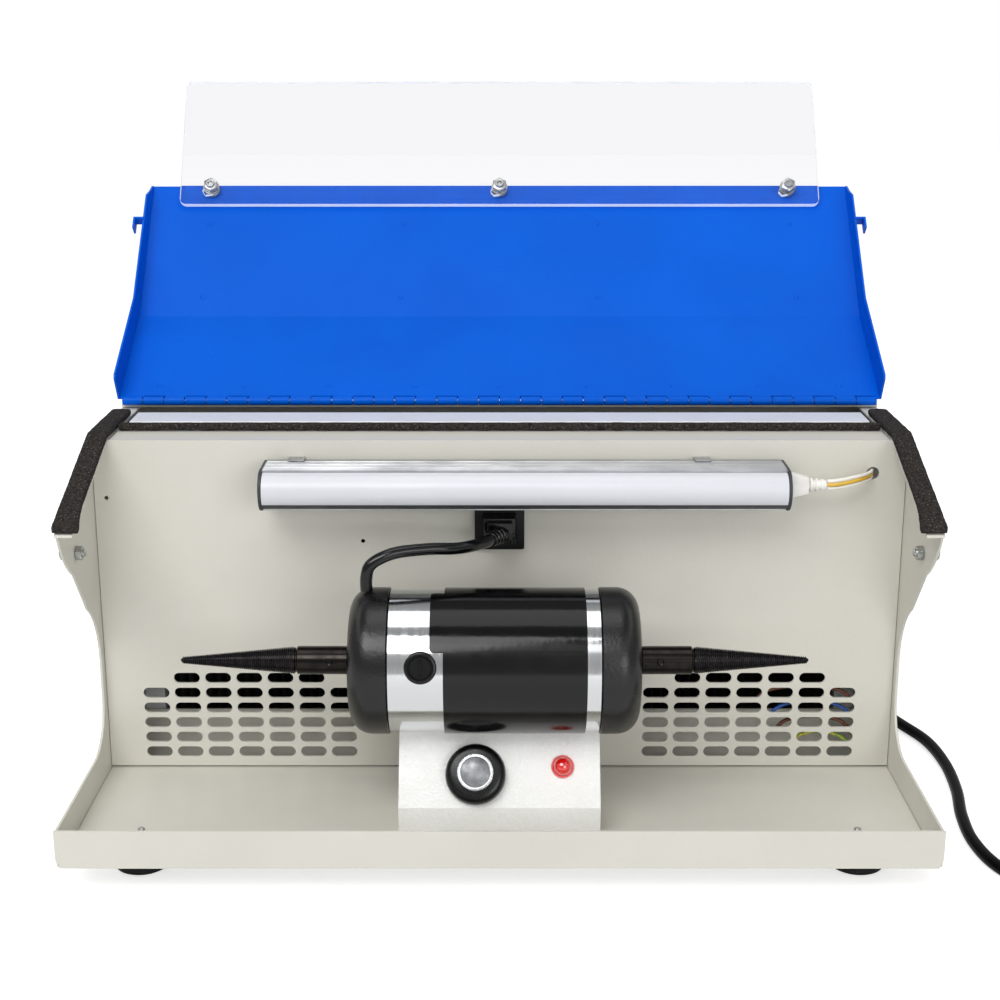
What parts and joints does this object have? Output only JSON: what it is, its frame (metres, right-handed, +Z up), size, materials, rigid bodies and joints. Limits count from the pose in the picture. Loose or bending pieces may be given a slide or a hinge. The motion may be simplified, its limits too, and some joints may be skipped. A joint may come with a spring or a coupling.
{
  "type": "polishing machine",
  "caption": "Bench polishing machine with a twin taper motor in an open bay, slotted suction wall, lamp, filter, fans and a hinged hood with a clear shield.",
  "frame": {"origin": "on the bench, under the middle of the machine's bounding box without its mains cord", "axes": "+X to the machine's right as seen from the front, +Y to the rear, +Z up; the operator stands at -Y"},
  "size_m": [0.6373, 0.4009, 0.4049],
  "materials": {
    "case_paint": "cream grey satin paint",
    "hood_paint": "bright blue gloss paint",
    "hinge_paint": "blue paint over a rolled steel hinge",
    "hinge_pin": "plain drawn wire",
    "foam": "dark speckled open cell foam",
    "filter_mat": "grey needled dust mat",
    "rubber": "black matte rubber",
    "shield": "clear polished sheet",
    "fasteners": "bright zinc plate",
    "filter_frame": "mill finish",
    "black_plastic": "black moulded plastic",
    "fan_plastic": "black glass filled plastic",
    "lamp_body": "satin white aluminium",
    "diffuser": "milky diffuser",
    "white_plastic": "white moulded plastic",
    "chrome_can": "polished chrome",
    "motor_caps": "black enamel",
    "rotor": "copper wound rotor on a steel shaft",
    "taper_steel": "blackened steel",
    "knob_cap": "spun aluminium",
    "pilot_lens": "red lens"
  },
  "bodies": {
    "case": {"base_pan": "case_paint", "side_panel_right": "case_paint", "side_panel_left": "case_paint", "perforated_wall": "case_paint", "rear_panel": "case_paint", "control_box": "case_paint", "hinge_leaf_case": "hinge_paint", "hinge_pin": "hinge_pin", "foam_right": "foam", "foam_left": "foam", "foam_front": "foam", "foot_front_left": "rubber", "foot_front_right": "rubber", "foot_rear_left": "rubber", "foot_rear_right": "rubber", "cord_gland": "rubber", "mains_cord": "rubber", "cord_coil": "rubber", "cord_plug": "rubber", "motor_plug": "rubber", "motor_lead": "rubber", "latch_screw_right": "fasteners", "latch_screw_left": "fasteners", "lamp_clip_left": "fasteners", "lamp_clip_right": "fasteners", "motor_outlet": "black_plastic", "brush_cap": "black_plastic", "speed_control": "black_plastic", "rocker_switch": "black_plastic", "motor_band": "black_plastic", "fan_frame_left": "fan_plastic", "fan_frame_right": "fan_plastic", "lamp_body": "lamp_body", "lamp_diffuser": "diffuser", "lamp_plug": "white_plastic", "lamp_lead": "white_plastic", "motor_can": "chrome_can", "motor_bearing_right": "chrome_can", "motor_bearing_left": "chrome_can", "motor_cap_right": "motor_caps", "motor_cap_left": "motor_caps", "indicator_lamp": "pilot_lens"},
    "hood": {"hinge_leaf_hood": "hinge_paint", "hood_panel": "hood_paint", "shield": "shield", "shield_bolt_left": "fasteners", "shield_bolt_middle": "fasteners", "shield_bolt_right": "fasteners"},
    "filter": {"filter_frame": "filter_frame", "filter_media": "filter_mat"},
    "spindle": {"motor_shaft": "rotor", "taper_spindle_right": "taper_steel", "taper_spindle_left": "taper_steel"},
    "fan_left": {"fan_impeller_left": "fan_plastic"},
    "fan_right": {"fan_impeller_right": "fan_plastic"},
    "knob": {"speed_knob": "black_plastic", "knob_cap": "knob_cap"},
    "rocker": {"switch_rocker": "black_plastic"},
    "latch_left": {"latch_link_left": "fasteners"},
    "latch_right": {"latch_link_right": "fasteners"}
  },
  "joints": [
    {"name": "hood_hinge", "type": "hinge", "parent": "case", "child": "hood", "pos_m": [0, 0.01462, 0.22032], "axis": [-1, 0, 0], "range_deg": [-150.5, 0]},
    {"name": "filter_lift", "type": "slide", "parent": "case", "child": "filter", "axis": [0, 0, 1], "range_m": [0, 0.2]},
    {"name": "spindle_spin", "type": "hinge", "parent": "case", "child": "spindle", "pos_m": [-0.0026, -0.13488, 0.1095], "axis": [1, 0, 0], "continuous": true},
    {"name": "fan_left_spin", "type": "hinge", "parent": "case", "child": "fan_left", "pos_m": [-0.092, 0.03142, 0.1165], "axis": [0, 1, 0], "continuous": true},
    {"name": "fan_right_spin", "type": "hinge", "parent": "case", "child": "fan_right", "pos_m": [0.092, 0.03142, 0.1165], "axis": [0, 1, 0], "continuous": true},
    {"name": "speed_knob_turn", "type": "hinge", "parent": "case", "child": "knob", "pos_m": [-0.0128, -0.15238, 0.05064], "axis": [0, 0.866, -0.5], "range_deg": [0, 300]},
    {"name": "switch_rock", "type": "hinge", "parent": "case", "child": "rocker", "pos_m": [0.192, 0.05482, 0.0905], "axis": [0, 0, 1], "range_deg": [0, 16]},
    {"name": "latch_left_swing", "type": "hinge", "parent": "case", "child": "latch_left", "pos_m": [-0.234, -0.11568, 0.1638], "axis": [1, 0, 0], "range_deg": [0, 95]},
    {"name": "latch_right_swing", "type": "hinge", "parent": "case", "child": "latch_right", "pos_m": [0.234, -0.11568, 0.1638], "axis": [1, 0, 0], "range_deg": [0, 95]}
  ]
}
